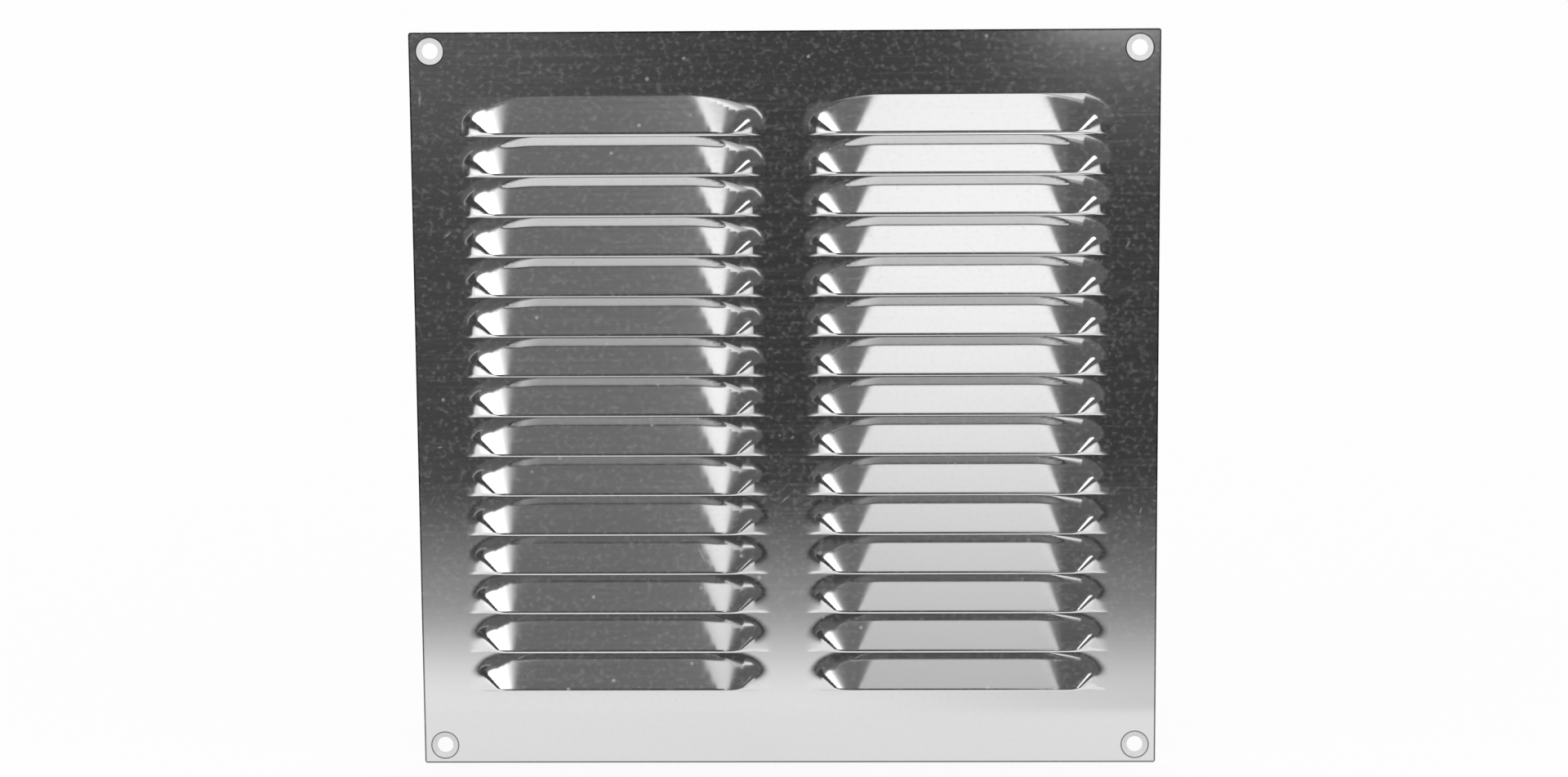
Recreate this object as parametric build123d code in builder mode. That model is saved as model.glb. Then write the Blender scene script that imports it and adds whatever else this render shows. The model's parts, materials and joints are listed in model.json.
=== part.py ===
from build123d import *

import os
from math import cos, radians, sin, tan

# Ventilation grille: one sheet of bright steel with two columns of pressed louvres and four screw holes.
# It stands upright as it does on a wall: X to the right, Z up, the louvres standing out towards -Y.
# The origin is the middle of the back face, which lies on the wall. Sizes are in millimetres.

# Sheet
plate_width = 200.0
plate_height = 200.0
sheet = 1.0
corner_radius = 0.6

# Field of louvres
columns = 2
side_margin = 14.4
column_gap = 12.8
top_margin = 17.1
foot_margin = 19.0
row_pitch = 10.85
land = 0.1

# One louvre, with angles in degrees
panel_angle = 26.0
lip_lean = 9.0

# Screw holes
screw_hole = 4.3
screw_head = 7.2
sink_angle = 130.0
screw_inset_x = 5.6
screw_inset_z = 5.0

# Sizes that follow from those above
rows = int((plate_height - top_margin - foot_margin) // row_pitch)
louvre_length = (plate_width - 2 * side_margin - (columns - 1) * column_gap) / columns
louvre_height = row_pitch - land
top_slit = plate_height / 2 - top_margin - louvre_height
middle_slit = top_slit - (rows - 1) * row_pitch / 2
panel_slope = tan(radians(panel_angle))
lean_slope = tan(radians(lip_lean))

# Where the lip is, out from the front of the sheet and over its slit, and how long it runs straight
lip_out = louvre_height * panel_slope / (1 + lean_slope * panel_slope)
lip_over = lip_out * lean_slope
lip_length = louvre_length - 2 * lip_out / panel_slope

# The wall plane and the plane of the louvres, both facing out of the front of the sheet
wall = Plane.XZ
field = Plane(origin=(0, 0, middle_slit), x_dir=(1, 0, 0), z_dir=(0, -1, 0))

# One louvre is made lying flat: its slit along X, its panel above the slit in Y, and Z out of the sheet.
# The cut that frees its lip leans back over the slit.
cut = Plane(
    origin=(0, 0, sheet),
    x_dir=(1, 0, 0),
    z_dir=(0, cos(radians(lip_lean)), -sin(radians(lip_lean))),
)

# The tent that a louvre is pressed over: a straight ridge for the lip, and half a cone at each end of it
ridge = sheet + lip_out
foot = ridge / panel_slope
ridge_end = Plane.YZ.offset(lip_length / 2)

with BuildPart() as tent:
    with BuildSketch(ridge_end):
        with BuildLine():
            Polyline((lip_over - foot, 0), (lip_over, ridge), (lip_over + foot, 0), close=True)
        make_face()
    extrude(amount=-lip_length)
    with BuildSketch(ridge_end):
        with BuildLine():
            Polyline((lip_over, 0), (lip_over, ridge), (lip_over + foot, 0), close=True)
        make_face()
    revolve(axis=Axis((lip_length / 2, lip_over, 0), (0, 0, -1)), revolution_arc=180)
    mirror(about=Plane.YZ)

# Outer skin of a louvre
with BuildPart() as hood:
    add(tent.part)
    split(bisect_by=cut, keep=Keep.TOP)

# Hollow behind a louvre: the tent moved in along the cut until the panel is as thick as the sheet
move_in = sheet / (cos(radians(panel_angle)) + lean_slope * sin(radians(panel_angle)))
with BuildPart() as hollow:
    with Locations((0, -move_in * lean_slope, -move_in)):
        add(tent.part)
    split(bisect_by=cut, keep=Keep.TOP)

with BuildPart() as louvre_plate:
    with BuildSketch(wall):
        RectangleRounded(plate_width, plate_height, corner_radius)
    extrude(amount=sheet)
    # Louvres pressed out of the sheet
    with Locations(field):
        with GridLocations(louvre_length + column_gap, row_pitch, columns, rows):
            add(hood.part)
            add(hollow.part, mode=Mode.SUBTRACT)
    # Countersunk screw holes in the corners
    with Locations(wall.offset(sheet)):
        with GridLocations(plate_width - 2 * screw_inset_x, plate_height - 2 * screw_inset_z, 2, 2):
            CounterSinkHole(screw_hole / 2, screw_head / 2, counter_sink_angle=sink_angle)

louvre_plate.part.label = "louvre_plate"
os.makedirs("parts", exist_ok=True)
export_step(louvre_plate.part, "parts/louvre_plate.step")
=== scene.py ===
# %% [markdown]
# # A pressed steel ventilation grille
# The real grille is one sheet of bright steel. Thirty slits are cut in it, and the metal above each
# slit is pressed out into a louvre that sheds rain and lets air through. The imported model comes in
# first as a fixed frame, so that every size below is measured against the true part.

# %% Load the frame
import json
from math import cos, pi, radians, sin, tan

import bmesh
import bpy
import numpy as np
from mathutils import Matrix, Vector


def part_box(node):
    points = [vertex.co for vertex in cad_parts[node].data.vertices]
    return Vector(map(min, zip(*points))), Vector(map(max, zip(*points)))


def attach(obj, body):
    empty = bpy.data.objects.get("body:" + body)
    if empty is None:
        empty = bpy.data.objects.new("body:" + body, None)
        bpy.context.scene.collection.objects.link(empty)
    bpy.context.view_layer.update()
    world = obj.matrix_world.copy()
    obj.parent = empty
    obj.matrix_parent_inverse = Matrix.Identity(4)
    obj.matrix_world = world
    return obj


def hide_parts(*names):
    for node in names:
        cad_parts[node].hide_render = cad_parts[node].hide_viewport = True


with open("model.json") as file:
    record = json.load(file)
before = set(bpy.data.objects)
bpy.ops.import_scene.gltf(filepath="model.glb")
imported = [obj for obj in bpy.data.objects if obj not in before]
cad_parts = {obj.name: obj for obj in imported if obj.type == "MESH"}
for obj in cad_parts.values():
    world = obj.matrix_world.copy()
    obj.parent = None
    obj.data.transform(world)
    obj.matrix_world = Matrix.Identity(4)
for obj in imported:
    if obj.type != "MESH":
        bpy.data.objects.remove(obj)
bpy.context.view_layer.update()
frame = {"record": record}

PLATE = "louvre_plate"
MM = 0.001

plate_low, plate_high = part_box(PLATE)
half_width = plate_high.x / MM
half_height = plate_high.z / MM
print(f"plate: {2 * half_width:.1f} x {2 * half_height:.1f} mm, {-plate_low.y / MM:.2f} mm deep")

# %% [markdown]
# ## The camera
# The photograph shows the plate from a little above, so its upright edges lean together towards the
# foot. The four corners of the plate fix the camera: a long lens about a metre away, pitched down by
# nine degrees. Placing it by an aim point and a distance keeps those numbers readable.

# %% Camera
PHOTO_WIDTH = 1920
FOCAL_PIXELS = 4538.65
SENSOR = 36.0
DISTANCE = 1.0
PITCH = 9.271
YAW = 1.466
ROLL = -0.44
AIM = Vector((-0.689, 0.0, 3.628)) * MM

camera = bpy.data.objects.new("photo_camera", bpy.data.cameras.new("photo_camera"))
bpy.context.scene.collection.objects.link(camera)
bpy.context.scene.camera = camera
camera.data.sensor_width = SENSOR
camera.data.lens = FOCAL_PIXELS / PHOTO_WIDTH * SENSOR
turn = (
    Matrix.Rotation(radians(YAW), 4, "Z")
    @ Matrix.Rotation(radians(90 - PITCH), 4, "X")
    @ Matrix.Rotation(radians(ROLL), 4, "Z")
)
camera.matrix_world = Matrix.Translation(AIM) @ turn @ Matrix.Translation((0, 0, DISTANCE))
print("camera at", [round(c, 3) for c in camera.matrix_world.translation], "lens", round(camera.data.lens, 1))

# %% [markdown]
# ## The flat blank
# A press shop starts from a flat blank, and so does this mesh. One grid covers the whole blank, with
# its lines crowded where the metal will bend and far apart where it stays flat. They are worked out
# from the distance to the middle of a louvre and from the height over its slit.

# %% Where the louvres are, in millimetres
SHEET = 1.0
COLUMN_CENTRES = (-46.0, 46.0)
ROWS = 15
LOUVRE_HEIGHT = 10.75
ROW_PITCH = 10.85
TOP_MARGIN = 17.1
SLIT_HALF = 42.6
FIELD_HALF = 44.3

top_slit = half_height - TOP_MARGIN - LOUVRE_HEIGHT
foot_slit = top_slit - ROW_PITCH * (ROWS - 1)
slits = [foot_slit + ROW_PITCH * row for row in range(ROWS)]
print(f"{ROWS} rows, slits from {foot_slit:.2f} to {top_slit:.2f} mm")

# %% Lines of the grid
CORNER = 0.6
RIM = 0.12
HOLE_FRAME = 4.2

screw_holes = next(m for m in frame["record"]["mounts"] if m["kind"] == "bolt_pattern")["dims"]
hole_x = screw_holes["spacing_x_mm"] / 2
hole_z = screw_holes["spacing_y_mm"] / 2


def evenly(start, stop, count):
    return [start + (stop - start) * step / (count - 1) for step in range(count)]


def edge_lines(half, hole):
    """Lines on both sides for the rim, the rounded corner and the frame round a screw hole."""
    lines = [half, half - RIM, half - CORNER, hole - HOLE_FRAME, hole + HOLE_FRAME]
    return lines + [-line for line in lines]


ALONG = [9.0, 16.0, 19.5, 22.0, 24.2, 26.0] + evenly(27.2, SLIT_HALF, 21) + [43.3, 44.1]
OVER = [0.0, 0.1, 0.22, 0.36, 0.52, 0.72, 1.0, 1.4, 2.0, 2.8, 3.7, 4.7, 5.7, 6.7, 7.6, 8.4, 9.1, 9.6]
OVER += [10.0, 10.35, 10.6, 10.75]
x_lines = [centre + side * along for centre in COLUMN_CENTRES for along in ALONG for side in (-1, 1)]
x_lines = sorted({round(x, 4) for x in x_lines + [0.0] + edge_lines(half_width, hole_x)})
z_lines = [slit + over for slit in slits for over in OVER] + [top_slit + ROW_PITCH]
z_lines = sorted({round(z, 4) for z in z_lines + edge_lines(half_height, hole_z)})
print(len(x_lines), "upright lines and", len(z_lines), "level lines")

# %% Lay the grid out
blank = bmesh.new()
bmesh.ops.create_grid(blank, x_segments=len(x_lines) - 1, y_segments=len(z_lines) - 1, size=1.0)
for vert in blank.verts:
    vert.co.x = x_lines[round((vert.co.x + 1) / 2 * (len(x_lines) - 1))]
    vert.co.y = z_lines[round((vert.co.y + 1) / 2 * (len(z_lines) - 1))]
bmesh.ops.rotate(blank, verts=blank.verts, cent=(0, 0, 0), matrix=Matrix.Rotation(pi / 2, 3, "X"))

for vert in blank.verts:
    past_x = abs(vert.co.x) - (half_width - CORNER)
    past_z = abs(vert.co.z) - (half_height - CORNER)
    if past_x > 0 and past_z > 0:
        pull = max(past_x, past_z) / (past_x**2 + past_z**2) ** 0.5 - 1
        vert.co.x += np.sign(vert.co.x) * past_x * pull
        vert.co.z += np.sign(vert.co.z) * past_z * pull
print(len(blank.faces), "faces in the flat blank")

# %% [markdown]
# ## Slits and screw holes
# A press tool lances the slits without taking metal away, so each slit is a row of edges that are
# split apart. A screw hole is cut out as a square window first. Two circles then fill it in again,
# the outer one for the countersink and the inner one for the shank of the screw.

# %% Lance the slits
NEAR = 0.001


def on_slit(edge):
    ends = [vert.co for vert in edge.verts]
    level = any(all(abs(end.z - slit) < NEAR for end in ends) for slit in slits)
    return level and any(all(abs(end.x - c) < SLIT_HALF + NEAR for end in ends) for c in COLUMN_CENTRES)


lanced = [edge for edge in blank.edges if on_slit(edge)]
bmesh.ops.split_edges(blank, edges=lanced)
print(len(lanced), "edges lanced")

# %% Cut the screw holes
SINK_RADIUS = 3.6
SINK_ANGLE = 130.0
HOLE_STEPS = 12

hole_radius = screw_holes["hole_r_mm"]


for middle in [Vector((sx * hole_x, 0, sz * hole_z)) for sx in (-1, 1) for sz in (-1, 1)]:

    def find_window():
        """The face that the hole is cut in."""
        return min(blank.faces, key=lambda face: (face.calc_center_median() - middle).length)

    bmesh.ops.subdivide_edges(blank, edges=find_window().edges[:], cuts=HOLE_STEPS - 1)
    window = find_window()
    for radius in (SINK_RADIUS, hole_radius):
        bmesh.ops.inset_region(blank, faces=[window], thickness=RIM)
        for vert in window.verts:
            vert.co = middle + (vert.co - middle).normalized() * radius
    bmesh.ops.delete(blank, geom=[window], context="FACES_ONLY")

bmesh.ops.recalc_face_normals(blank, faces=blank.faces)
if sum(face.normal.y for face in blank.faces) > 0:
    bmesh.ops.reverse_faces(blank, faces=blank.faces)
print(len(blank.faces), "faces after the holes")

# %% Give the blank its thickness
raised = bmesh.ops.extrude_face_region(blank, geom=blank.faces[:], use_keep_orig=True)["geom"]
raised = [part for part in raised if isinstance(part, bmesh.types.BMVert)]
bmesh.ops.translate(blank, verts=raised, vec=(0, -SHEET, 0))
bmesh.ops.recalc_face_normals(blank, faces=blank.faces)
print(len(blank.faces), "faces in the blank, volume", round(blank.calc_volume() / 1000, 2), "cm3")

# %% [markdown]
# ## Pressing the louvres
# A louvre could be built face by face, but in the press it is the die that gives it its form, so here
# a formula stands for the die. The die is like a tent that runs on a little below the slit. Its roof
# is the sloping panel, and at each end the tent cloth runs from one point, the apex, down to a rounded
# outline on the sheet. The outline droops along the top, turns a corner and comes down to the slit.

# %% The outline of a louvre on the sheet
NOSE_START = 20.0
NOSE_END = 38.0
DROOP = 4.0
SIDE_FACING = radians(96.0)
CORNER_POWER = 8
APEX_ALONG = 28.8
APEX_UNDER = 2.0

droop_along = np.linspace(NOSE_START, 3 * NOSE_START, 8000)
droop_over = LOUVRE_HEIGHT - DROOP * ((droop_along - NOSE_START) / (NOSE_END - NOSE_START)) ** 2
edge_right = droop_along - APEX_ALONG
edge_up = droop_over + APEX_UNDER
edge_angle = np.arctan2(edge_right, edge_up)
under_droop = 1 / np.hypot(edge_right, edge_up)
inside_end = np.maximum(np.cos(edge_angle - SIDE_FACING), 0) / (NOSE_END - APEX_ALONG)
edge_reach = (under_droop**CORNER_POWER + inside_end**CORNER_POWER) ** (-1 / CORNER_POWER)
print(f"outline from {np.degrees(edge_angle[0]):.0f} to {np.degrees(edge_angle[-1]):.0f} degrees round the apex")

# %% [markdown]
# ## From the tent to the sheet
# Where the tent meets the flat sheet the metal can't fold sharply. The bend is tight along the panel
# and runs out softly round the noses, where the metal is stretched. The edge of the lip is rounded
# too, as a cut edge is on its die side. The inner skin is the same tent, moved in along the cut.

# %% The form of the die
PANEL_ANGLE = radians(26.0)
LIP_LEAN = radians(9.0)
BEND_RADIUS = 0.4
NOSE_BEND = 10.0
LIP_ROUND = 0.9
LIP_TURN = 0.85
STEP = 0.01

lean = tan(LIP_LEAN)
lip_out = LOUVRE_HEIGHT * tan(PANEL_ANGLE) / (1 + lean * tan(PANEL_ANGLE))
apex_out = (LOUVRE_HEIGHT + APEX_UNDER) * tan(PANEL_ANGLE)
move_in = SHEET / (cos(PANEL_ANGLE) + lean * sin(PANEL_ANGLE))


def tent(along, over):
    """How far the die stands out of the front of the sheet, below nought outside the louvre."""
    right = along - APEX_ALONG
    up = over + APEX_UNDER
    on_nose = np.hypot(right, up) / np.interp(np.arctan2(right, up), edge_angle, edge_reach)
    on_panel = up / (LOUVRE_HEIGHT + APEX_UNDER)
    is_nose = np.arctan2(right, up) > edge_angle[0]
    return apex_out * (1 - np.where(is_nose, on_nose, on_panel))


def sharp_skin(along, over, inside):
    """The height of the outer skin, or of the inner one where inside is 1, before any bend is rounded."""
    return tent(along, over + inside * move_in * lean) - inside * move_in


def pressed(along, over, inside):
    """The height of a pressed skin, with its bend into the flat sheet."""
    level = -inside * SHEET
    height = sharp_skin(along, over, inside) - level
    rise_along = (sharp_skin(along + STEP, over, inside) - sharp_skin(along - STEP, over, inside)) / (2 * STEP)
    rise_over = (sharp_skin(along, over + STEP, inside) - sharp_skin(along, over - STEP, inside)) / (2 * STEP)
    slope = np.hypot(rise_along, rise_over)
    angle = np.arctan(slope)
    droop = LOUVRE_HEIGHT - np.interp(along, droop_along, droop_over)
    radius = np.minimum(BEND_RADIUS + droop / tan(PANEL_ANGLE / 2), NOSE_BEND) + inside * SHEET
    reach = height / slope + radius * np.tan(angle / 2)
    bend = radius - np.sqrt(radius**2 - np.clip(reach, 0, radius * np.sin(angle)) ** 2)
    return np.where(reach > radius * np.sin(angle), height, bend) + level


def lip_rise(along, inside):
    """How far the leaning cut leaves a lip above its slit."""
    rise = np.zeros_like(along)
    for _ in range(8):
        rise = lean * pressed(along, rise, inside)
    return rise


def skin(along, over, inside, rise):
    """The height of a skin with the edge of its lip rounded back."""
    height = pressed(along, over, inside)
    turned = LIP_TURN * np.clip(1 - (over - rise) / LIP_ROUND, 0, 1.05)
    back = LIP_ROUND * (1 - np.sqrt(1 - turned**2)) * np.clip(height / SHEET, 0, 1)
    return height - np.where((rise > 0) & (inside < 0.5), back, 0)


print(f"lip stands out {SHEET + lip_out:.3f} mm from the wall")

# %% Press the blank
LIP_REACH = 0.6 * LOUVRE_HEIGHT

blank.verts.ensure_lookup_table()
points = np.array([vert.co for vert in blank.verts])
x, y, z = points.T
is_front = y < -SHEET / 2
above = np.array([np.sign(np.mean([f.calc_center_median().z for f in v.link_faces]) - v.co.z) for v in blank.verts])

side = np.where(x < 0, -1, 1)
along = np.abs(x - side * COLUMN_CENTRES[1])
row = np.floor((z + NEAR * above - foot_slit) / ROW_PITCH)
in_field = (row >= 0) & (row < ROWS) & (along < FIELD_HALF)
over = np.where(in_field, z - foot_slit - row * ROW_PITCH, ROW_PITCH)
inside = np.where(is_front, 0.0, 1.0)

in_slit = along < SLIT_HALF - NEAR
at_lip = in_field & in_slit & (over < NEAR)
at_sill = np.any([np.abs(z - slit) < NEAR for slit in slits], axis=0) & in_slit & ~at_lip
rise = np.where(in_slit, lip_rise(along, inside), 0)
over = over + np.where(in_field, rise * np.maximum(0, 1 - over / LIP_REACH), 0)
height = np.where(in_field, skin(along, over, inside, rise), -inside * SHEET)

points[:, 1] = -SHEET - height
points[:, 2] = np.where(in_field, foot_slit + row * ROW_PITCH + over, z)
points[:, 2] -= np.where(at_sill, lean * SHEET * inside, 0)
print("deepest point", round(points[:, 1].min(), 3), "mm")

# %% Countersinks and the rim
RIM_ROUND = 0.06

sink_depth = (SINK_RADIUS - hole_radius) / tan(radians(SINK_ANGLE / 2))
from_hole = np.hypot(np.abs(x) - hole_x, np.abs(z) - hole_z)
points[:, 1] += np.where(is_front & (from_hole < hole_radius + NEAR), sink_depth, 0)
at_rim = np.array([v.is_boundary or any(e.calc_face_angle(0) > 1 for e in v.link_edges) for v in blank.verts])
at_rim &= (np.abs(x) > half_width - RIM / 2) | (np.abs(z) > half_height - RIM / 2) | (
    np.hypot(np.abs(x) - half_width + CORNER, np.abs(z) - half_height + CORNER) > CORNER - RIM / 2
) & (np.abs(x) > half_width - CORNER) & (np.abs(z) > half_height - CORNER)
points[:, 1] += np.where(at_rim, np.where(is_front, RIM_ROUND, -RIM_ROUND), 0)
print(f"countersinks {sink_depth:.2f} mm deep")

# %% Normals of the skins
rise_along = (skin(along + STEP, over, inside, rise) - skin(along - STEP, over, inside, rise)) / (2 * STEP)
rise_over = (skin(along, over + STEP, inside, rise) - skin(along, over - STEP, inside, rise)) / (2 * STEP)
tilt_x = np.where(in_field, rise_along * np.sign(x - side * COLUMN_CENTRES[1]), 0)
tilt_z = np.where(in_field, rise_over, 0)
skin_normals = np.stack([tilt_x, np.ones_like(x), tilt_z], axis=1)
skin_normals /= np.linalg.norm(skin_normals, axis=1, keepdims=True)
skin_normals *= np.where(is_front, -1, 1)[:, None]
print("steepest skin", round(float(np.degrees(np.arccos(np.abs(skin_normals[:, 1]).min()))), 1), "degrees")

# %% Make the piece
for vert, point in zip(blank.verts, points):
    vert.co = Vector(point) * MM
for face in blank.faces:
    face.smooth = True
blank.normal_update()

mesh = bpy.data.meshes.new("pressed_plate")
blank.to_mesh(mesh)
blank.free()
plate = bpy.data.objects.new("pressed_plate", mesh)
bpy.context.scene.collection.objects.link(plate)
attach(plate, "root")
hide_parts(PLATE)
mesh.calc_loop_triangles()
print(len(mesh.loop_triangles), "triangles")

# %% Give the corners of the faces their normals
corner_verts = np.empty(len(mesh.loops), dtype=int)
mesh.loops.foreach_get("vertex_index", corner_verts)
face_starts = np.empty(len(mesh.polygons), dtype=int)
mesh.polygons.foreach_get("loop_start", face_starts)
face_sizes = np.diff(np.append(face_starts, len(corner_verts)))
face_normals = np.empty(3 * len(mesh.polygons))
mesh.polygons.foreach_get("normal", face_normals)
face_normals = np.repeat(face_normals.reshape(-1, 3), face_sizes, axis=0)

flat = ~(at_rim | (from_hole < SINK_RADIUS + NEAR))
most = np.maximum.reduceat(is_front[corner_verts], face_starts)
least = np.minimum.reduceat(is_front[corner_verts], face_starts)
all_flat = np.maximum.reduceat(flat[corner_verts], face_starts)
is_skin = np.repeat((most == least) & all_flat, face_sizes)
corner_normals = np.where(is_skin[:, None], skin_normals[corner_verts], face_normals)
mesh.normals_split_custom_set(corner_normals)
print(int(is_skin.sum()), "of", len(corner_verts), "corners take the normal of the die")

# %% [markdown]
# ## Writing shader maths as plain sums
# Node trees grow hard to read when every sum is three calls. One small class wraps a socket, so that
# `1 - mask` adds the Math node by itself, and one method adds any other node.


# %% A socket that does sums
class Wire:
    """One socket of a node tree."""

    def __init__(self, tree, socket=None):
        self.tree = tree
        self.socket = socket

    def node(self, kind, settings=None, sockets=None, output=0):
        """Adds a node, with its settings first and then the values or links of its sockets."""
        made = self.tree.nodes.new(kind)
        for name, value in (settings or {}).items():
            setattr(made, name, value)
        for name, value in (sockets or {}).items():
            if isinstance(value, Wire):
                self.tree.links.new(value.socket, made.inputs[name])
            else:
                made.inputs[name].default_value = value
        return Wire(self.tree, made.outputs[output] if len(made.outputs) else None)

    def sum(self, operation, first, second):
        return self.node("ShaderNodeMath", {"operation": operation}, {0: first, 1: second})

    def __add__(self, other):
        return self.sum("ADD", self, other)

    def __sub__(self, other):
        return self.sum("SUBTRACT", self, other)

    def __rsub__(self, other):
        return self.sum("SUBTRACT", other, self)

    def __mul__(self, other):
        return self.sum("MULTIPLY", self, other)

    def __abs__(self):
        return self.sum("ABSOLUTE", self, 0.0)

    __radd__ = __add__
    __rmul__ = __mul__

    def ramp(self, start, stop):
        """Nought up to start, one from stop on, and a smooth rise between them."""
        limits = {"Value": self, "From Min": start, "From Max": stop}
        return self.node("ShaderNodeMapRange", {"interpolation_type": "SMOOTHSTEP"}, limits)


def new_tree(material):
    """Empties a material and gives a wire to start from."""
    material.use_nodes = True
    material.node_tree.nodes.clear()
    return Wire(material.node_tree)


print("shader maths ready")

# %% [markdown]
# ## Bright rolled steel
# The sheet is bright stainless steel as it leaves the rolls: close to a mirror, with faint rolling
# lines across the plate and a fine grain. The rolling lines are a noise that is stretched along X.
# They tilt the surface a little, so they go into a bump, and they change the gloss a little.

# %% Steel, with its grain and rolling lines
STEEL_GREY = (0.74, 0.74, 0.745, 1.0)
VEIL_GREY = (0.8, 0.8, 0.8, 1.0)
# A dark grey painted as shade round the countersinks and along the edge of the sheet.
PAINTED_SHADE_GREY = (0.15, 0.15, 0.15, 1.0)
VEIL = 0.10


def steel_noise(place, scale, detail):
    """Noise with its own scale along X, Y and Z, per metre."""
    stretched = place.node("ShaderNodeMapping", sockets={"Vector": place, "Scale": scale})
    return place.node("ShaderNodeTexNoise", sockets={"Vector": stretched, "Scale": 1.0, "Detail": detail})


def part_of(vector, axis):
    return vector.node("ShaderNodeSeparateXYZ", sockets={"Vector": vector}, output=axis)


# %% [markdown]
# ## Handling marks
# The plate in the picture has been handled: a few short scratches and specks catch the light, mostly
# on the flat margins. Each one is a streak of matt metal with its own place, length and slant. The
# countersinks are matt as well, because a drill cuts them and leaves its marks.

# %% Scratches and countersinks
SCRATCHES = (
    (-97.3, 82.0, 2.2, 85, 0.45), (-90.7, 45.8, 1.8, 40, 0.40), (91.6, 42.5, 1.5, 60, 0.40),
    (-23.2, -41.4, 3.6, -60, 0.40), (-21.5, -43.0, 2.0, -58, 0.40), (-0.6, -26.6, 2.1, 42, 0.35),
    (1.5, -9.6, 0.9, 30, 0.50), (-5.0, -72.0, 0.9, 20, 0.50), (-69.0, -18.5, 0.7, 0, 0.60),
    (64.0, 33.0, 0.9, 70, 0.40), (-94.0, -12.0, 0.9, 15, 0.45), (95.5, -30.0, 1.2, 75, 0.40),
)


def scratched(place):
    """One in the middle of a scratch, and nought away from it."""
    marks = 0.0
    for along_x, along_z, half_length, slant, half_width in SCRATCHES:
        laid = place.node(
            "ShaderNodeMapping",
            {"vector_type": "TEXTURE"},
            {
                "Vector": place,
                "Location": (along_x * MM, 0, along_z * MM),
                "Rotation": (0, radians(-slant), 0),
            },
        )
        lengthwise = abs(part_of(laid, 0)).ramp(half_length * MM, 0.0)
        across = abs(part_of(laid, 2)).ramp(half_width * MM, 0.0)
        marks = lengthwise * across + marks
    return marks


def specked(place):
    """One in the small specks that lie scattered over the plate."""
    nearest = place.node("ShaderNodeTexVoronoi", sockets={"Vector": place, "Scale": 110.0}, output="Distance")
    return nearest.ramp(0.08, 0.03)


def countersunk(place):
    """One inside the countersinks of the four corners, and one as far as a ring of painted shade round them."""
    off_x = abs(part_of(place, 0)) - hole_x * MM
    off_z = abs(part_of(place, 2)) - hole_z * MM
    reach = (off_x * off_x + off_z * off_z) * (1 / (SINK_RADIUS * MM) ** 2)
    return reach.ramp(1.0, 0.94), reach.ramp(1.25, 1.05)


def edge_shade(place):
    """One on a thin band along the edge of the sheet, where a dark grey is painted as shade."""
    near_x = abs(part_of(place, 0)).ramp((half_width - 0.5) * MM, (half_width - 0.3) * MM)
    near_z = abs(part_of(place, 2)).ramp((half_height - 0.5) * MM, (half_height - 0.3) * MM)
    return place.sum("MAXIMUM", near_x, near_z)


def bright_steel():
    material = bpy.data.materials.new("bright_rolled_steel")
    wire = new_tree(material)
    place = wire.node("ShaderNodeTexCoord", output="Object")
    rolling = steel_noise(place, (25, 300, 1100), 3.0)
    grain = steel_noise(place, (700, 700, 850), 3.0)
    clouds = steel_noise(place, (22, 22, 30), 3.0)
    sunk, shaded_ring = countersunk(place)
    roughness = 0.08 + 0.03 * clouds + 0.02 * rolling + 0.02 * grain + 0.3 * sunk
    bump = wire.node(
        "ShaderNodeBump",
        sockets={"Strength": 1.0, "Distance": 1.2e-6, "Height": rolling + 0.3 * grain},
    )
    # Painted shade: the dark grey goes over each countersink, a narrow ring round it and a thin band along the edge
    # of the sheet.
    grey = wire.node(
        "ShaderNodeMix",
        {"data_type": "RGBA"},
        {"Factor": shaded_ring + edge_shade(place), 6: STEEL_GREY, 7: PAINTED_SHADE_GREY},
        output=2,
    )
    steel = wire.node(
        "ShaderNodeBsdfPrincipled",
        sockets={"Base Color": grey, "Metallic": 1.0, "Roughness": roughness, "Normal": bump},
    )
    veil = wire.node("ShaderNodeBsdfDiffuse", sockets={"Color": VEIL_GREY})
    share = VEIL * (grain.ramp(0.48, 0.8) + 0.35 * rolling.ramp(0.45, 0.85)) + 0.25 * scratched(place) + 0.3 * specked(place) + 0.92 * sunk
    shader = wire.node("ShaderNodeMixShader", sockets={0: share, 1: steel, 2: veil})
    wire.node("ShaderNodeOutputMaterial", sockets={"Surface": shader})
    return material


plate.data.materials.append(bright_steel())
print("steel:", len(plate.data.materials[0].node_tree.nodes), "nodes")

# %% [markdown]
# ## The studio
# Bright metal shows the room more than itself, so a photographer builds the room for it: a pale
# table, a soft box up on one side, a window on the other, and dark cards in between. The cards and
# boxes stay out of the camera's sight and show only in the steel. Two cards on the table carry
# painted shade: a dark wedge in front of the plate, and the plate's painted shadow behind it.

# %% Floor and world
FLOOR_HALF = 8.0


def card(name, centre, size, facing, material):
    """A flat card of the studio: its middle, its width and height, and the way that it faces."""
    made = bmesh.new()
    bmesh.ops.create_grid(made, x_segments=1, y_segments=1, size=0.5)
    bmesh.ops.scale(made, verts=made.verts, vec=(*size, 1))
    turned = Vector(facing).to_track_quat("Z", "Y").to_matrix().to_4x4()
    bmesh.ops.transform(made, verts=made.verts, matrix=Matrix.Translation(centre) @ turned)
    card_mesh = bpy.data.meshes.new(name)
    made.to_mesh(card_mesh)
    made.free()
    card_mesh.materials.append(material)
    placed = bpy.data.objects.new(name, card_mesh)
    bpy.context.scene.collection.objects.link(placed)
    return placed


def seen_plainly(wire):
    """One for a ray that looks at a thing, straight or by way of metal or glass."""
    path = wire.node("ShaderNodeLightPath").socket.node
    camera_ray, glossy, through = [
        Wire(wire.tree, path.outputs[kind])
        for kind in ("Is Camera Ray", "Is Glossy Ray", "Is Transmission Ray")
    ]
    return wire.sum("MINIMUM", camera_ray + glossy + through, 1.0)


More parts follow.
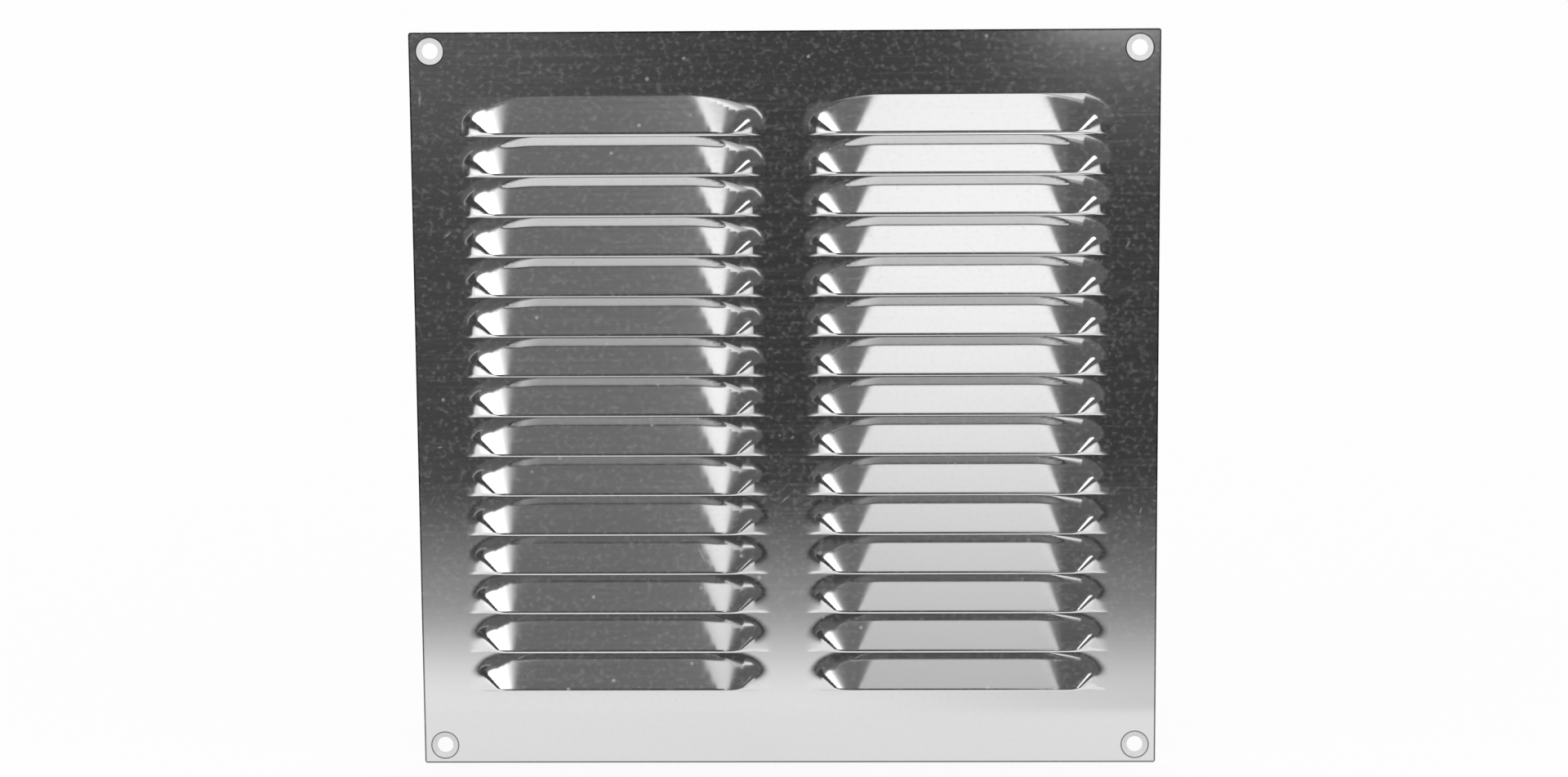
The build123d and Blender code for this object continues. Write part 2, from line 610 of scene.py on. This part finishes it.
def pale_table():
    material = bpy.data.materials.new("pale_table")
    wire = new_tree(material)
    matt = wire.node("ShaderNodeBsdfDiffuse", sockets={"Color": (0.9, 0.9, 0.9, 1.0)})
    glow = wire.node("ShaderNodeEmission", sockets={"Color": (1.0, 1.0, 1.0, 1.0), "Strength": 1.0})
    share = 0.88 * seen_plainly(wire)
    mixed = wire.node("ShaderNodeMixShader", sockets={0: share, 1: matt, 2: glow})
    wire.node("ShaderNodeOutputMaterial", sockets={"Surface": mixed})
    return material


floor_level = plate_low.z
floor = card("floor", (0, 0, floor_level), (2 * FLOOR_HALF, 2 * FLOOR_HALF), (0, 0, 1), pale_table())

world = bpy.data.worlds.new("white_studio")
bpy.context.scene.world = world
wire = new_tree(world)
sky = wire.node("ShaderNodeBackground", sockets={"Color": (1.0, 1.0, 1.0, 1.0), "Strength": 1.0})
wire.node("ShaderNodeOutputWorld", sockets={"Surface": sky})
bpy.context.scene.view_settings.view_transform = "Standard"
print("floor at", round(floor_level, 4))

# %% Cards, flags and soft boxes


def glowing(name, near, far=None, axis=1, ramps=()):
    """A card that glows by itself, from near to far along an axis. A ramp has a start, a stop and a share."""
    material = bpy.data.materials.new(name)
    wire = new_tree(material)
    level = near
    if far is not None:
        place = wire.node("ShaderNodeTexCoord", output="Object")
        along_axis = wire.node("ShaderNodeSeparateXYZ", sockets={"Vector": place}, output=axis)
        level = near + sum((far - near) * share * along_axis.ramp(start, stop) for start, stop, share in ramps)
    shader = wire.node("ShaderNodeEmission", sockets={"Color": (1.0, 1.0, 1.0, 1.0), "Strength": level})
    wire.node("ShaderNodeOutputMaterial", sockets={"Surface": shader})
    return material


def hidden_card(*description):
    """A card that only shows in the steel."""
    placed = card(*description)
    placed.visible_camera = False
    placed.visible_diffuse = False
    placed.visible_shadow = False
    return placed


def shaded_wedge():
    """Painted shade on the table: pale near the plate, then dark, on a wedge of the table that widens away from the
    plate.
    """
    material = bpy.data.materials.new("shaded_wedge")
    wire = new_tree(material)
    place = wire.node("ShaderNodeTexCoord", output="Object")
    away = part_of(place, 1)
    across = part_of(place, 0)
    beside = abs(across) + away
    dark = 0.65 * away.ramp(-0.06, -0.20) + 0.35 * away.ramp(-0.13, -0.42)
    pale = 1 - 0.22 * across.ramp(0.0, 0.12) + 0.35 * beside.ramp(0.10, 0.30)
    depth = 0.95 - 0.02 * abs(across).ramp(0.06, 0.16)
    level = pale * (1 - depth * dark * beside.ramp(0.08, -0.02))
    shader = wire.node("ShaderNodeEmission", sockets={"Color": (1.0, 1.0, 1.0, 1.0), "Strength": level})
    wire.node("ShaderNodeOutputMaterial", sockets={"Surface": shader})
    return material


def slanting_window():
    """A bright window with a soft right side and a lower side that slants up to the right."""
    material = bpy.data.materials.new("left_window")
    wire = new_tree(material)
    place = wire.node("ShaderNodeTexCoord", output="Object")
    across = part_of(place, 0)
    over_slant = part_of(place, 2) - 0.843 * across
    level = 0.175 + 2.825 * across.ramp(-0.58, -1.02) * over_slant.ramp(1.66, 1.90)
    shader = wire.node("ShaderNodeEmission", sockets={"Color": (1.0, 1.0, 1.0, 1.0), "Strength": level})
    wire.node("ShaderNodeOutputMaterial", sockets={"Surface": shader})
    return material


over_floor = floor_level + 0.002
# Painted shade on the table in front of the plate, seen only in the steel.
hidden_card("table_shade_card", (0, -0.885, over_floor), (4.0, 1.67), (0, 0, 1), shaded_wedge())
# Painted shadow: the plate's shadow on the table behind it, dark near the plate and paler away from it, seen only
# in the steel.
hidden_card(
    "rear_shadow_card", (0, 2.01, over_floor), (6.0, 3.98), (0, 0, 1),
    glowing("rear_shadow_card", 0.10, far=1.25, axis=1, ramps=((0.05, 1.6, 1.0),)),
)
hidden_card("front_flag", (0.875, -1.72, 0.55), (3.25, 1.3), (0, 1, 0), glowing(
    "front_flag", 0.060, far=0.13, axis=0, ramps=((-0.05, -0.35, 1.0), (0.05, 0.30, 1.0)),
))
hidden_card("upper_flag", (0.0, -1.2, 1.35), (1.0, 1.9), (0, 0, -1), glowing("upper_flag", 0.175))
hidden_card(
    "soft_box", (0.087, -0.745, 0.69), (0.234, 0.64), (0, 1, 0),
    glowing("soft_box", 0.56, far=1.24, axis=2, ramps=((0.43, 0.79, 1.0),)),
)
hidden_card("upper_right_flag", (1.6, -1.2, 1.35), (2.2, 1.9), (0, 0, -1), glowing("upper_right_flag", 0.12))
hidden_card("right_flag", (1.8, -1.7, 0.6), (2.4, 1.4), (-1, 0, 0), glowing("right_flag", 0.10))
hidden_card("right_window", (1.76, -1.17, 0.82), (1.06, 0.72), (-1, 0, 0), glowing("right_window", 2.0))
hidden_card("left_wall", (-1.64, -1.15, 0.20), (2.4, 0.60), (0.819, 0.574, 0), glowing("left_wall", 0.05))
hidden_card(
    "left_window", (-1.082, -1.202, 1.176), (1.50, 1.68), (0.541, 0.601, -0.588), slanting_window(),
)
hidden_card("low_box", (0.135, -0.745, 0.205), (0.055, 0.29), (0, 1, 0), glowing("low_box", 1.2))
print("cards set")
